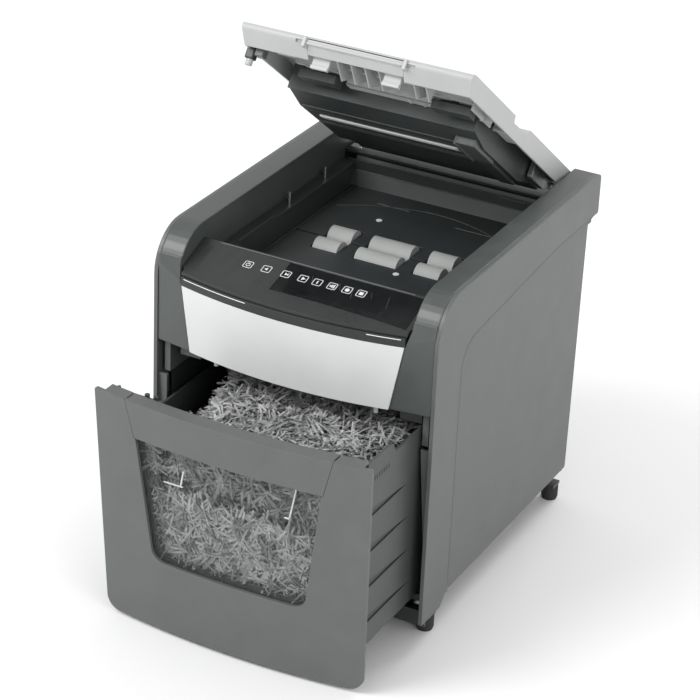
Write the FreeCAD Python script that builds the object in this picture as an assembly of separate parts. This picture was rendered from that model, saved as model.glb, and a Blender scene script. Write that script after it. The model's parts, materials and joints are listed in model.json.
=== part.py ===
import FreeCAD, Part
import math
import os

V = FreeCAD.Vector

# An auto-feed paper shredder, drawn with its lid open and its bin pulled part of the way out.
# Millimetres, +Z up. The origin is on the floor under the middle of the whole machine as drawn,
# from the face of the pulled-out bin to the back of the cabinet.
# Depths are measured back from the cabinet's front edge, and place() moves them to the origin.

# driving dimensions
width = 291.0
depth = 349.0
height = 352.0
skin = 3.8                     # side panel thickness
wall = 2.5                     # ordinary moulded wall
gap = 0.3                      # clearance between mouldings
half = width / 2
panel_in = half - skin         # inner face of a side panel
cheek_out = panel_in - gap
rim_in = 119.0                 # inner face of the rims beside the paper tray
head_z = 242.0                 # underside of the head
deck_top = 245.0
low_rear = 327.0               # rear of the cabinet below the head's overhang
ledge_z = 305.0                # underside of the rear overhang
base_half = 118.0              # the cabinet floor is narrower than the cabinet
foot_x = 133.0
foot_u = (34.0, 316.0)
shelf_top = 324.0              # shelf behind the tray that carries the lid's hinges

# fascia
fascia_top_z = 306.0
fascia_top_half = 114.0
fascia_low_half = 102.5
bulge = 14.5                   # how far the front face swells forward at its middle
bulge_r = (fascia_top_half ** 2 + bulge ** 2) / (2 * bulge)
face_mid = -18.5               # front of the swell

# control panel
panel_back_u = 44.0
panel_back_z = 335.0
panel_front_z = fascia_top_z + 12.5

# lid
hinge_u = 332.0
hinge_z = 337.0
lid_open = 37.0                # degrees above closed, as drawn
lid_len = 305.0                # hinge to front edge
lid_rise = 14.5                # hinge to top skin
lid_half = 116.5
lid_skin = 2.5
latch_half = 48.0
slot_left = -84.0              # manual feed slot through the lid
slot_right = 62.0
slot_wide = 12.0
channel_deep = 6.0             # recess across the top of the lid, around the slot

# bin
pull = 105.0                   # how far the bin is out, as drawn
front_top_z = 241.0
front_low_z = 4.0
front_lean = 14.0              # the front is set back by this at its foot
front_top_half = 140.5
front_low_half = 135.0
front_edge = -4.0              # side edges of the bin front when the bin is shut
front_swell = 12.0
front_skin = 3.5
tub_half = 129.5
tub_z = 45.0
rim_z = 225.0
rim_front_z = 236.0
left_rim_z = 184.0             # the left wall is scooped lower than the right one
tub_len = 284.0
slab_top = 260.0               # the bin front is cut from a leaning slab that starts at this height
front_reach = (front_edge - front_swell - pull
               + (slab_top - front_top_z) * front_lean / (front_top_z - front_low_z))
origin_u = (depth + front_reach) / 2

# shredding mechanism
feed_z = 287.5
feed_r = 12.0
feed_gap = 30.0                # between the two roller shafts
feed_mid = 183.5
cut_gap = 32.0
cut_z = 257.0
cut_disc_r = 17.4
cut_core_r = 12.0
disc_pitch = 8.0
disc_t = 3.6
cut_run = 220.0                # length of the cutting rows
plate_x = 113.5                # inner face of the steel side plates
plate_t = 2.0
tray_z = 294.0                 # paper tray floor
shaft_r = 4.0
gear_x = 117.5                 # first gear plane, outside the right side plate
outer_gear_x = 124.5           # second gear plane, for the motor pinion and the large drive gear
gear_end = 124.0               # shafts stop here, short of the large drive gear
cutter_teeth = 32
take_off_teeth = 20            # gear on the front cutter's left end that drives the feed rollers
feed_teeth = 30
idler_teeth = 24
small_teeth = 18
large_teeth = 60
gear_face = 6.0
pinion_teeth = 12
motor_u = 256.0
motor_z = 267.5


def place(shape):
    """Move a shape drawn from the front edge so that the origin is under the machine's middle."""
    moved = shape.copy()
    moved.translate(V(0, -origin_u, 0))
    return moved


def save(name, *shapes):
    group = shapes[0] if len(shapes) == 1 else Part.makeCompound(list(shapes))
    place(group).exportStep(os.path.join("parts", name + ".step"))


def box(x0, x1, u0, u1, z0, z1):
    return Part.makeBox(x1 - x0, u1 - u0, z1 - z0, V(x0, u0, z0))


def rod(x0, x1, u, z, r):
    return Part.makeCylinder(r, x1 - x0, V(x0, u, z), V(1, 0, 0))


def post(x, u, z0, z1, r):
    return Part.makeCylinder(r, z1 - z0, V(x, u, z0), V(0, 0, 1))


def stub(x, z, u0, u1, r):
    return Part.makeCylinder(r, u1 - u0, V(x, u0, z), V(0, 1, 0))


def outline(points):
    return Part.Face(Part.Wire(Part.makePolygon([V(*p) for p in points] + [V(*points[0])])))


def side_prism(points, x0, x1):
    """A side profile of (depth, height) points, carried from x0 to x1."""
    return outline([(x0, u, z) for u, z in points]).extrude(V(x1 - x0, 0, 0))


def front_prism(points, u0, u1):
    """A front profile of (x, height) points, carried from u0 to u1."""
    return outline([(x, u0, z) for x, z in points]).extrude(V(0, u1 - u0, 0))


def mirror(shape):
    return shape.mirror(V(0, 0, 0), V(1, 0, 0))


def rounded(points, radii):
    """Corner points with a radius each, as a list of points with short arcs."""
    out = []
    count = len(points)
    for i in range(count):
        p = points[i]
        a = points[i - 1]
        b = points[(i + 1) % count]
        r = radii[i]
        if r == 0:
            out.append(p)
            continue
        la = math.hypot(a[0] - p[0], a[1] - p[1])
        lb = math.hypot(b[0] - p[0], b[1] - p[1])
        ua = ((a[0] - p[0]) / la, (a[1] - p[1]) / la)
        ub = ((b[0] - p[0]) / lb, (b[1] - p[1]) / lb)
        turn = math.acos(max(-1, min(1, ua[0] * ub[0] + ua[1] * ub[1])))
        run = r / math.tan(turn / 2)
        mid = (ua[0] + ub[0], ua[1] + ub[1])
        lm = math.hypot(mid[0], mid[1])
        far = r / math.sin(turn / 2)
        c = (p[0] + mid[0] / lm * far, p[1] + mid[1] / lm * far)
        s = (p[0] + ua[0] * run, p[1] + ua[1] * run)
        e = (p[0] + ub[0] * run, p[1] + ub[1] * run)
        a0 = math.atan2(s[1] - c[1], s[0] - c[0])
        a1 = math.atan2(e[1] - c[1], e[0] - c[0])
        sweep = (a1 - a0 + math.pi) % (2 * math.pi) - math.pi
        steps = max(3, int(abs(math.degrees(sweep)) / 9))
        out += [(c[0] + r * math.cos(a0 + sweep * k / steps),
                c[1] + r * math.sin(a0 + sweep * k / steps))
                for k in range(steps + 1)]
    return out


# ---- cabinet ----

def side_profile(inset):
    """The whole side of the cabinet, shrunk by inset along the front and the top."""
    i = inset
    corners = [(i, 24.7), (i, height - 1 - i), (depth - i, height - 1 - i), (depth - i, ledge_z + 4),
               (low_rear + 2, ledge_z - 1), (low_rear - 3, 34.7), (47, 34.7), (37, 24.7)]
    return rounded(corners, [0, 42 - i, 6, 3, 3, 3, 4, 4])


def make_side_panel():
    panel = side_prism(side_profile(0), panel_in, half)
    field = rounded([(52, 0), (52, 292), (250, 309), (400, 309), (400, 0)], [0, 30, 40, 0, 0])
    panel = panel.cut(side_prism(field, half - 1.6, half + 5))
    flange = side_prism([(3, 206), (6, 206), (16, 40), (13, 40)], 130, panel_in)
    taper = front_prism([(panel_in, 40), (panel_in, 206), (132.5, 206), (140.5, 40)], 0, 20)
    return panel.fuse(flange.common(taper))


def make_bin_guide():
    """Inner liner beside the bin, with the ledge that the bin runs on."""
    liner = box(134.5, 137, 18, 316, 30, 205)
    ledge = box(124, 137, 18, 316, 38, tub_z - gap)
    ribs = [box(137, panel_in - gap, u, u + 3, 40, 200) for u in (30, 120, 210, 300)]
    shape = liner.fuse(ledge)
    for rib in ribs:
        shape = shape.fuse(rib)
    return shape


def make_rear_panel():
    back = box(-panel_in + gap, panel_in - gap, low_rear - 6, low_rear - 3.5, 30, 300)
    shelf = box(-panel_in + gap, panel_in - gap, low_rear - 6, depth - 6, 300, 302.5)
    upper = box(-panel_in + gap, panel_in - gap, depth - 8.5, depth - 6, 302.5, shelf_top)
    top = box(-rim_in + gap, rim_in - gap, low_rear - 6, depth - 6, shelf_top - 2.5, shelf_top)
    vents = [box(x - 1.5, x + 1.5, low_rear - 9, low_rear, 225, 275) for x in range(-60, 61, 10)]
    shape = back.fuse([shelf, upper, top])
    for vent in vents:
        shape = shape.cut(vent)
    return shape.cut(stub(-96, 62, low_rear - 9, low_rear, 6.2))


def make_base():
    """Cabinet floor, set in from the sides, with a pad over each foot and a lip across the front."""
    floor = box(-base_half, base_half, 16, low_rear - 6.5, 17, 20)
    lip = box(-panel_in + gap, panel_in - gap, 14, 17, 14, 30)
    rear = box(-base_half, base_half, low_rear - 9.5, low_rear - 6.5, 17, 34)
    pads = [box(min(x, side), max(x, side), u - 11, u + 4, 17, 20)
            for x, side in ((-panel_in + gap, -base_half + 2), (base_half - 2, panel_in - gap)) for u in foot_u]
    shape = floor.fuse([lip, rear] + pads)
    for x in (-90, -45, 0, 45, 90):
        shape = shape.fuse(box(x - 1.2, x + 1.2, 17, low_rear - 9.5, 20, 26))
    return shape


def make_foot(x, u):
    return Part.makeCone(7.5, 8.5, 3, V(x, u, 0)).fuse(post(x, u, 3, 17, 8.5))


def make_head_block():
    """Lower corner of the head beside the bin, slotted so that the bin's wall passes."""
    inner = box(104, 126, 16, 36, 224, head_z)
    outer = box(131.5, 137.5, 7, 60, 208, head_z)
    tie = box(104, 137.5, 16, 60, head_z - 3, head_z)
    return inner.fuse([outer, tie]).removeSplitter()


def make_deck():
    """Platform under the mechanism, open under the cutters."""
    deck = box(-panel_in + gap, panel_in - gap, 6, low_rear - 6.5, head_z, deck_top)
    deck = deck.cut(box(-114, 114, feed_mid - 40, feed_mid + 40, head_z - 1, deck_top + 1))
    deck = deck.cut(box(116, 133, feed_mid - 40, feed_mid + 72, head_z - 1, deck_top + 1))
    return deck.cut(box(-126, -116, feed_mid - 40, feed_mid + 40, head_z - 1, deck_top + 1))


def make_shred_chute():
    """Short skirt that guides the shreds down from the cutters into the bin."""
    outer = box(-116, 116, feed_mid - 42, feed_mid + 42, 229, head_z)
    return outer.cut(box(-113.5, 113.5, feed_mid - 39.5, feed_mid + 39.5, 228, head_z + 1))


# ---- head mouldings ----

def make_cheek():
    """Rim and front cheek on one side of the tray, open underneath and outside."""
    block = side_prism(side_profile(0), 100, cheek_out).common(box(0, 200, -50, 400, head_z + gap, 400))
    shape = [(103.2, head_z), (fascia_top_half + 0.7, fascia_top_z), (rim_in, 322), (rim_in, 400),
             (cheek_out, 400), (cheek_out, head_z)]
    block = block.common(front_prism(shape, -50, 500))
    slant = outline([(100, -5.4, 200), (cheek_out + 1, 1.2, 200), (cheek_out + 1, 600, 200), (100,
            600, 200)])
    forward = side_prism([(-6, head_z + gap), (-6, 300), (4, 330), (20, 330), (20, head_z + gap)],
            100, cheek_out)
    front = forward.common(front_prism(shape, -50, 500)).common(slant.extrude(V(0, 0, 300)))
    block = block.common(slant.extrude(V(0, 0, 300)))
    hollow = side_prism(side_profile(3.2), rim_in + 2.4, cheek_out + 5)
    keep = box(0, 200, -50, depth - 4, 0, 400)
    behind = box(90, rim_in, 4, 500, 0, 321)
    shape = block.fuse(front).cut(hollow.common(keep)).cut(behind)
    shape = shape.cut(box(90, rim_in + 3, 55, 330, 0, 312))
    shape = shape.cut(box(90, rim_in + 3, 318, 400, 0, shelf_top + gap))
    shape = shape.cut(box(90, 150, 5.5, depth - 5.5, 0, deck_top + gap))
    return shape.cut(box(90, 150, low_rear - 6.5, depth + 1, 0, shelf_top + gap))


def face_band(z0, z1, x_half, thick):
    """A strip of the swollen front face between two heights."""
    outer = Part.makeCylinder(bulge_r, z1 - z0, V(0, face_mid + bulge_r, z0))
    inner = Part.makeCylinder(bulge_r - thick, z1 - z0 + 2, V(0, face_mid + bulge_r, z0 - 1))
    return outer.cut(inner).common(box(-x_half, x_half, face_mid - 1, face_mid + 40, z0, z1))


def make_fascia():
    band = face_band(head_z + gap, fascia_top_z, half, wall)
    shape = [(-fascia_low_half, head_z), (fascia_low_half, head_z),
             (fascia_top_half, fascia_top_z + 1), (-fascia_top_half, fascia_top_z + 1)]
    return band.common(front_prism(shape, -60, 60))


def make_fascia_pegs():
    return [post(s * 83, 9, 227, head_z, 2.2) for s in (-1, 1)]


def front_u(x):
    """Depth of the swollen front face at a given x."""
    return face_mid + bulge_r - math.sqrt(bulge_r ** 2 - x ** 2)


def make_trim_strip():
    return face_band(fascia_top_z + gap, panel_front_z - 3.3, fascia_top_half + 0.4, 8)


def ruled_deck(z_drop, thick, x_half, u_back):
    """Top of the control panel: from the swollen front edge up to its straight back edge."""
    steps = 16
    faces = []
    rows = []
    for i in range(steps + 1):
        x = -x_half + 2 * x_half * i / steps
        front = V(x, front_u(x) + 2.0, panel_front_z - z_drop)
        slope = (panel_back_z - panel_front_z) / (panel_back_u - front_u(0))
        back = V(x, u_back, panel_back_z - z_drop - (panel_back_u - u_back) * slope)
        rows.append((front, back))
    down = V(0, 0, -thick)
    front_wire = Part.makePolygon([r[0] for r in rows])
    back_wire = Part.makePolygon([r[1] for r in rows])
    for a, b in zip(rows, rows[1:]):
        pieces = []
        for q in ((a[0], b[0], b[1]), (a[0], b[1], a[1])):
            tri = Part.Face(Part.makePolygon([q[0], q[1], q[2], q[0]]))
            pieces.append(tri.extrude(down))
        faces += pieces
    solid = faces[0]
    return solid.multiFuse(faces[1:]).removeSplitter()


def make_control_panel():
    top = ruled_deck(0, 3.0, rim_in - 0.6, panel_back_u)
    window = box(-26, 112, 2, 42, 300, 345)
    lip = box(-rim_in + 0.6, rim_in - 0.6, panel_back_u - 2.6, panel_back_u, 322, panel_back_z - 1)
    panel = top.cut(window).fuse(lip)
    for s in (0, 1):
        notch = box(115.4, 130, -30, 5, 300, 330)
        panel = panel.cut(mirror(notch) if s else notch)
    return panel


def make_status_window():
    cover = ruled_deck(0.3, 2.0, rim_in - 2, panel_back_u - 3)
    return cover.common(box(-25.7, 111.7, 2.3, 41.4, 300, 345))


def make_panel_bracket():
    """Ribbed carrier seen through the smoked window."""
    plate = box(-25, 111, 4, 41, 300, 302)
    ribs = [box(x, x + 1.6, 5, 40, 302, 311) for x in (-20, 2, 24, 46, 68, 90)]
    return plate.multiFuse(ribs)


# ---- paper tray ----

roller_rows = [(-54.0, 26.0), (0.0, 44.0), (54.0, 26.0)]


def feed_u(row):
    return feed_mid + (row - 0.5) * feed_gap


lens_at = [(-40.0, 244.0), (29.0, 146.0)]
tray_front = 52.0
tray_rear = 318.0
ledge_top = 316.0
ledge_in = 104.0


def make_paper_tray():
    """Tray floor with roller windows, sloped ends and a ledge down each side."""
    floor = box(-ledge_in - 1, ledge_in + 1, 72, tray_rear, tray_z - 3, tray_z)
    front = side_prism([(58, 321), (60.5, 321), (74, tray_z), (74, tray_z - 3), (71, tray_z - 3)],
                       -ledge_in - 1, ledge_in + 1)
    rear = side_prism([(306, tray_z), (318, 321), (320.7, 321), (320.7, tray_z - 3), (308, tray_z - 3)],
                      -ledge_in - 1, ledge_in + 1)
    side = front_prism([(ledge_in, tray_z - 3), (ledge_in, ledge_top), (118.4, ledge_top),
                        (118.4, ledge_top - 2.5), (ledge_in + 2.5,
                                ledge_top - 2.5), (ledge_in + 2.5, tray_z - 3)],
                       tray_front, tray_rear)
    rib = box(ledge_in, ledge_in + 1.8, 84, 150, ledge_top, ledge_top + 3.5)
    shape = floor.multiFuse([front, rear, side, mirror(side), rib, mirror(rib)])
    for row in (0, 1):
        for x, length in roller_rows:
            u = feed_u(row)
            shape = shape.cut(box(x - length / 2 - 2, x + length / 2 + 2, u - 13, u + 13, 280, 300))
    shape = shape.cut(box(-100, 100, feed_mid - 2, feed_mid + 2, 280, 300))
    for x, u in lens_at:
        shape = shape.cut(post(x, u, 280, 300, 3.1))
    return shape.cut(post(switch_x, switch_u, 300, 330, 4.2))


def make_tray_pins():
    """Locating pins that stand on the side ledges."""
    return [post(s * 111, u, ledge_top, ledge_top + 11, 1.8) for s in (-1, 1) for u in (190, 262)]


def make_sensor_lenses():
    return [post(x, u, tray_z - 6, tray_z + 0.4, 3.0) for x, u in lens_at]


switch_x = -111.0
switch_u = 60.0


# ---- cutters, feed rollers and drive ----

def gear(centre, x0, face, teeth, phase, bore=0):
    """Module 1 spur gear; phase is the angle of one tooth, and the teeth are thin so that pairs run free."""
    u, z = centre
    pitch = teeth / 2.0
    step = 2 * math.pi / teeth
    flank = [(-0.25, pitch - 1.3), (-0.19, pitch), (-0.09, pitch + 0.75),
             (0.09, pitch + 0.75), (0.19, pitch), (0.25, pitch - 1.3)]
    pts = []
    for k in range(teeth):
        for part, r in flank:
            a = phase + (k + part) * step
            pts.append((u + r * math.cos(a), z + r * math.sin(a)))
    blank = side_prism(pts, x0, x0 + face)
    return blank.cut(rod(x0 - 1, x0 + face + 1, u, z, bore)) if bore else blank


def mesh_phase(first, first_teeth, first_phase, second, second_teeth):
    """Phase that puts a tooth gap of the second gear on a tooth of the first."""
    line = math.atan2(second[1] - first[1], second[0] - first[0])
    part = (first_phase - line) * first_teeth / (2 * math.pi)
    return line + math.pi - (part + 0.5) * 2 * math.pi / second_teeth


def apex(first, reach_first, second, reach_second, side):
    """Point at given distances from two centres; side picks which of the two."""
    du, dz = second[0] - first[0], second[1] - first[1]
    d = math.hypot(du, dz)
    a = (reach_first ** 2 - reach_second ** 2 + d * d) / (2 * d)
    h = side * math.sqrt(reach_first ** 2 - a * a)
    return first[0] + (du * a - dz * h) / d, first[1] + (dz * a + du * h) / d


def cutter_u(row):
    return feed_mid + (row - 0.5) * cut_gap


def make_cutter(row):
    """A shaft whose discs pass between the discs of the other shaft."""
    u = cutter_u(row)
    x = -cut_run / 2
    pts = [(x, 0), (x, cut_core_r)]
    start = x + (1.0 if row == 0 else 1.0 + disc_pitch / 2)
    while start + disc_t < cut_run / 2:
        pts += [(start, cut_core_r), (start, cut_disc_r), (start + disc_t, cut_disc_r),
                (start + disc_t, cut_core_r)]
        start += disc_pitch
    pts += [(cut_run / 2, cut_core_r), (cut_run / 2, 0)]
    face = outline([(px, u, cut_z + pr) for px, pr in pts])
    body = face.revolve(V(0, u, cut_z), V(1, 0, 0), 360)
    left_end = -gear_end if row == 0 else -plate_x - plate_t - 1.5
    shape = body.fuse(rod(left_end, gear_end, u, cut_z, shaft_r))
    shape = shape.fuse(train_gear(("cutter_front", "cutter_rear")[row], gear_x, gear_face))
    if row == 0:
        shape = shape.fuse(train_gear("take_off", -gear_x - gear_face, gear_face))
    return shape


def make_stripper_comb(row):
    """Fingers that lift the shreds out of the gaps of one cutter."""
    side = -1 if row == 0 else 1
    u = cutter_u(row)
    bar = box(-110, 110, min(u + side * 18.4, u + side * 21.4), max(u + side * 18.4,
            u + side * 21.4), 246, 268)
    start = -cut_run / 2 + (1.0 if row == 0 else 1.0 + disc_pitch / 2) + disc_t + 0.4
    fingers = []
    while start + disc_pitch < cut_run / 2:
        width_of = disc_pitch - disc_t - 0.8
        near = u + side * 12.9
        far = u + side * 19
        fingers.append(box(start, start + width_of, min(near, far), max(near, far), 250, 264))
        start += disc_pitch
    return bar.multiFuse(fingers)


def gear_train():
    """Centres and phases of every gear, by name."""
    front, rear = (cutter_u(0), cut_z), (cutter_u(1), cut_z)
    motor = (motor_u, motor_z)
    train = {"cutter_front": (front, cutter_teeth), "cutter_rear": (rear, cutter_teeth),
             "take_off": (front, take_off_teeth),
             "feed_front": ((feed_u(0), feed_z), feed_teeth), "feed_rear": ((feed_u(1), feed_z),
                     feed_teeth)}
    train["idler"] = (apex(front, (take_off_teeth + idler_teeth) / 2.0, train["feed_front"][0],
                           (feed_teeth + idler_teeth) / 2.0, 1), idler_teeth)
    stage = apex(rear, (cutter_teeth + small_teeth) / 2.0, motor, (large_teeth + pinion_teeth) / 2.0, 1)
    train["small"] = (stage, small_teeth)
    train["large"] = (stage, large_teeth)
    train["pinion"] = (motor, pinion_teeth)
    phase = {"cutter_front": 0.0, "take_off": 0.0, "large": 0.0}
    for a, b in (("cutter_front", "cutter_rear"), ("take_off", "idler"), ("idler", "feed_front"),
                 ("feed_front", "feed_rear"), ("cutter_rear", "small"), ("large", "pinion")):
        phase[b] = mesh_phase(train[a][0], train[a][1], phase[a], train[b][0], train[b][1])
    return {name: (train[name][0], train[name][1], phase[name]) for name in train}


gears = gear_train()


def train_gear(name, x0, face, bore=0):
    centre, teeth, phase = gears[name]
    return gear(centre, x0, face, teeth, phase, bore)


def make_side_plate(sign):
    x0 = plate_x if sign > 0 else -plate_x - plate_t
    plate = side_prism(rounded([(132, deck_top), (132, 282), (160, 302), (208, 302), (290, 289),
            (290, deck_top)],
                               [0, 4, 4, 4, 4, 0]), x0, x0 + plate_t)
    holes = [(cutter_u(0), cut_z, 7.02), (cutter_u(1), cut_z, 7.02), (feed_u(0), feed_z, 5.02),
             (feed_u(1), feed_z, 5.02), (motor_u, motor_z, 4.0)]
    for u, z, r in holes:
        plate = plate.cut(rod(x0 - 1, x0 + plate_t + 1, u, z, r))
    return plate


def make_bushes():
    out = []
    for s in (-1, 1):
        x0 = plate_x if s > 0 else -plate_x - plate_t
        for row in (0, 1):
            big = rod(x0, x0 + plate_t, cutter_u(row), cut_z, 7.0)
            out.append(big.cut(rod(x0 - 1, x0 + 3, cutter_u(row), cut_z, shaft_r + 0.05)))
            small = rod(x0, x0 + plate_t, feed_u(row), feed_z, 5.0)
            out.append(small.cut(rod(x0 - 1, x0 + 3, feed_u(row), feed_z, 3.05)))
    return out


def make_tie_rods():
    return [rod(-plate_x, plate_x, u, z, 3.0) for u, z in ((137, 252), (137, 278), (227, 251),
            (284, 284))]


def make_feed_shaft(row):
    shaft = rod(-gear_end, plate_x + plate_t + 1.5, feed_u(row), feed_z, 3.0)
    return shaft.fuse(train_gear(("feed_front", "feed_rear")[row], -gear_x - gear_face, gear_face))


def make_rollers(row):
    u = feed_u(row)
    out = []
    for x, length in roller_rows:
        sleeve = rod(x - length / 2, x + length / 2, u, feed_z, feed_r)
        out.append(sleeve.cut(rod(x - length, x + length, u, feed_z, 3.0)))
    return out


def make_motor():
    can = rod(10, 92, motor_u, motor_z, 21.0)
    cap = rod(92, 104, motor_u, motor_z, 19.0)
    nose = rod(0, 10, motor_u, motor_z, 9.0)
    saddle = box(30, 80, motor_u - 18, motor_u + 18, deck_top, motor_z).cut(rod(20, 90, motor_u,
            motor_z, 20.5))
    body = can.multiFuse([cap, nose, saddle])
    return body.cut(rod(100, 106, motor_u, motor_z, 2.6))


def make_motor_pinion():
    shaft = rod(100.5, outer_gear_x, motor_u, motor_z, 2.5)
    return shaft.fuse(train_gear("pinion", outer_gear_x, 5.5))


def make_drive_gear():
    u, z = gears["small"][0]
    hub = rod(gear_x, outer_gear_x, u, z, 6.0).cut(rod(gear_x - 1, outer_gear_x + 1, u, z, 3.05))
    large = train_gear("large", outer_gear_x, 5, 3.05)
    return train_gear("small", gear_x, gear_face, 3.05).multiFuse([hub, large])


def make_idler_gear():
    return train_gear("idler", -gear_x - gear_face, gear_face, 3.05)


def make_gear_axles():
    plate_out = plate_x + plate_t
    drive = rod(plate_out, outer_gear_x + 6.5, *gears["small"][0], 3.0)
    idler = rod(-gear_end, -plate_out, *gears["idler"][0], 3.0)
    return drive, idler


# ---- lid, drawn shut and swung open about its hinge ----

def swing(shape):
    out = shape.copy()
    out.rotate(V(0, hinge_u, hinge_z), V(1, 0, 0), -lid_open)
    return out


lid_front = hinge_u - lid_len      # front edge of the shut lid
lid_top = hinge_z + lid_rise


slot_u = lid_front + 148.0
liner_rear = hinge_u - 18


def lid_channel(inset):
    """The recess across the top of the lid that the manual feed slot opens into."""
    a, b, low = lid_front + 127 - inset, lid_front + 172 + inset, lid_top - channel_deep - inset
    return side_prism([(a - 4, lid_top + 5), (a + 3, low), (b - 3, low), (b + 4, lid_top + 5)],
                      -lid_half - 10, lid_half + 10)


def lid_profile(inset):
    i = inset
    top = lid_top - i
    return rounded([(lid_front + i, top), (hinge_u + 8 - i, top), (hinge_u + 8 - i, hinge_z + 2),
                    (hinge_u - 22, lid_top - 18.5), (lid_front + 20 + i * 0.6,
                            lid_top - 18.5)], [4, 5, 0, 0, 0])


def lid_hull(inset, grow):
    """Shallow lid with leaning sides, solid."""
    body = side_prism(lid_profile(inset), -lid_half - 5, lid_half + 5)
    w = lid_half - inset
    top = lid_top - inset + grow
    taper = front_prism([(-w, top + 1), (-w + 4, lid_top - 30), (w - 4, lid_top - 30), (w,
            top + 1)], -50, 500)
    return body.common(taper)


def make_lid_shell():
    shell = lid_hull(0, 0)
    inner = lid_hull(lid_skin, 0)
    inner = inner.fuse(box(-lid_half + 7, lid_half - 7, lid_front + 26, hinge_u + 5, lid_top - 40,
            lid_top - 8))
    shell = shell.cut(inner.cut(lid_channel(lid_skin))).cut(lid_channel(0))
    latch_gap = box(-latch_half - gap, latch_half + gap, lid_front - 5, lid_front + 24,
            lid_top - 30, lid_top - 2.6)
    shell = shell.cut(latch_gap)
    mouth = box(slot_left, slot_right, slot_u, slot_u + slot_wide, lid_top - 12, lid_top + 5)
    lugs = [box(x, x + 3, lid_front + 4, lid_front + 11, lid_top - 11, lid_top - 2)
            for x in (-latch_half - 4, latch_half + 1)]
    shell = shell.cut(mouth).multiFuse(lugs)
    peg = post(switch_x, switch_u, lid_top - 33, lid_top - 1, 3.4)
    shell = shell.fuse(peg)
    pin_u, pin_z = lid_front + 7.5, lid_top - 6.5
    sockets = rod(-60, 60, pin_u, pin_z, 1.85).cut(rod(-latch_half, latch_half, pin_u, pin_z, 3))
    return shell.cut(sockets)


def make_lid_latch():
    face = lid_hull(0, 0).cut(lid_hull(lid_skin, 0))
    face = face.common(box(-latch_half, latch_half, lid_front - 5, lid_front + 23, lid_top - 15,
            lid_top - 3.6))
    hooks = []
    for x in (-36, 36):
        stem = box(x - 8.5, x + 8.5, lid_front + 22, lid_front + 24.5, lid_top - 25, lid_top - 12)
        toe = box(x - 8.5, x + 8.5, lid_front + 20.5, lid_front + 24.5, lid_top - 25, lid_top - 22)
        web = box(x - 8.5, x + 8.5, lid_front + 17, lid_front + 24.5, lid_top - 14.5, lid_top - 12)
        hooks += [stem, toe, web]
    pivot = rod(-latch_half - 3.4, latch_half + 3.4, lid_front + 7.5, lid_top - 6.5, 1.8)
    return face.multiFuse(hooks + [pivot])


def liner_profile(inset):
    """Side of the liner: its pressure face leans down towards the feed slot and rises again behind."""
    i = inset
    return [(lid_front + 92 + i, lid_top - 4), (lid_front + 92 + i, lid_top - 29.5 + i),
            (lid_front + 130, lid_top - 37 + i),
            (lid_front + 232, lid_top - 37 + i), (lid_front + 262,
                    lid_top - 29.5 + i), (liner_rear, lid_top - 29.5 + i),
            (liner_rear, lid_top - 4)]


def make_lid_liner():
    """Dark inner moulding: manual feed slot and pressure face over the rollers, open at the rear."""
    shell = side_prism(liner_profile(0), -96, 96).cut(side_prism(liner_profile(wall), -96 + wall,
            96 - wall))
    shape = shell.cut(lid_channel(lid_skin + gap))
    return shape.cut(box(slot_left, slot_right, slot_u, slot_u + slot_wide, lid_top - 60, lid_top - 10))


def make_lid_arm(sign):
    """Hinge arm from the liner back to the hinge pin."""
    prof = rounded([(hinge_u - 60, lid_top - 28), (hinge_u - 60, lid_top - 12), (hinge_u - 8,
            lid_top - 6),
                    (hinge_u + 5, hinge_z + 5), (hinge_u + 5, hinge_z - 5), (hinge_u - 20,
                            lid_top - 28)],
                   [3, 3, 4, 4, 4, 5])
    arm = side_prism(prof, 98, 103).cut(rod(97, 104, hinge_u, hinge_z, 3.05))
    return arm if sign > 0 else mirror(arm)


def make_hinge_pins():
    pin = rod(92, 108.5, hinge_u, hinge_z, 3.0)
    return pin, mirror(pin)


def make_hinge_bracket(sign):
    base = box(104, 116.5, hinge_u - 8, hinge_u + 8, shelf_top, shelf_top + 2.5)
    lug = box(104, 108, hinge_u - 4.4, hinge_u + 4.4, shelf_top + 2.5, hinge_z)
    eye = rod(104, 108, hinge_u, hinge_z, 4.4)
    shape = base.multiFuse([lug, eye]).cut(rod(103, 118, hinge_u, hinge_z, 3.0))
    return shape if sign > 0 else mirror(shape)


pad_right_x = 80.0
pad_left_x = -56.0
pad_u = lid_front + 71.0


def make_pad(x):
    """Sprung foot that presses the stack onto the rollers."""
    foot = box(x - 19, x + 19, pad_u - 8, pad_u + 8, lid_top - 25, lid_top - 17.2)
    return foot.fuse(post(x, pad_u, lid_top - 17.2, lid_top - 8.2, 3.0))


def make_pad_bracket(x):
    plate = box(x - 21, x + 21, pad_u - 10, pad_u + 10, lid_top - 11.5, lid_top - 9.5)
    legs = [box(x + a, x + a + 2.5, pad_u - 10, pad_u + 10, lid_top - 11.5,
            lid_top - lid_skin) for a in (-21, 18.5)]
    return plate.multiFuse(legs).cut(post(x, pad_u, lid_top - 30, lid_top - 5, 3.05))


def make_pad_spring(x):
    return post(x, pad_u, lid_top - 9.5, lid_top - 4, 4.6).cut(post(x, pad_u, lid_top - 20,
            lid_top, 3.3))


# ---- bin, drawn shut and slid forward ----

def slide(shape):
    out = shape.copy()
    out.translate(V(0, -pull, 0))
    return out


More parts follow.
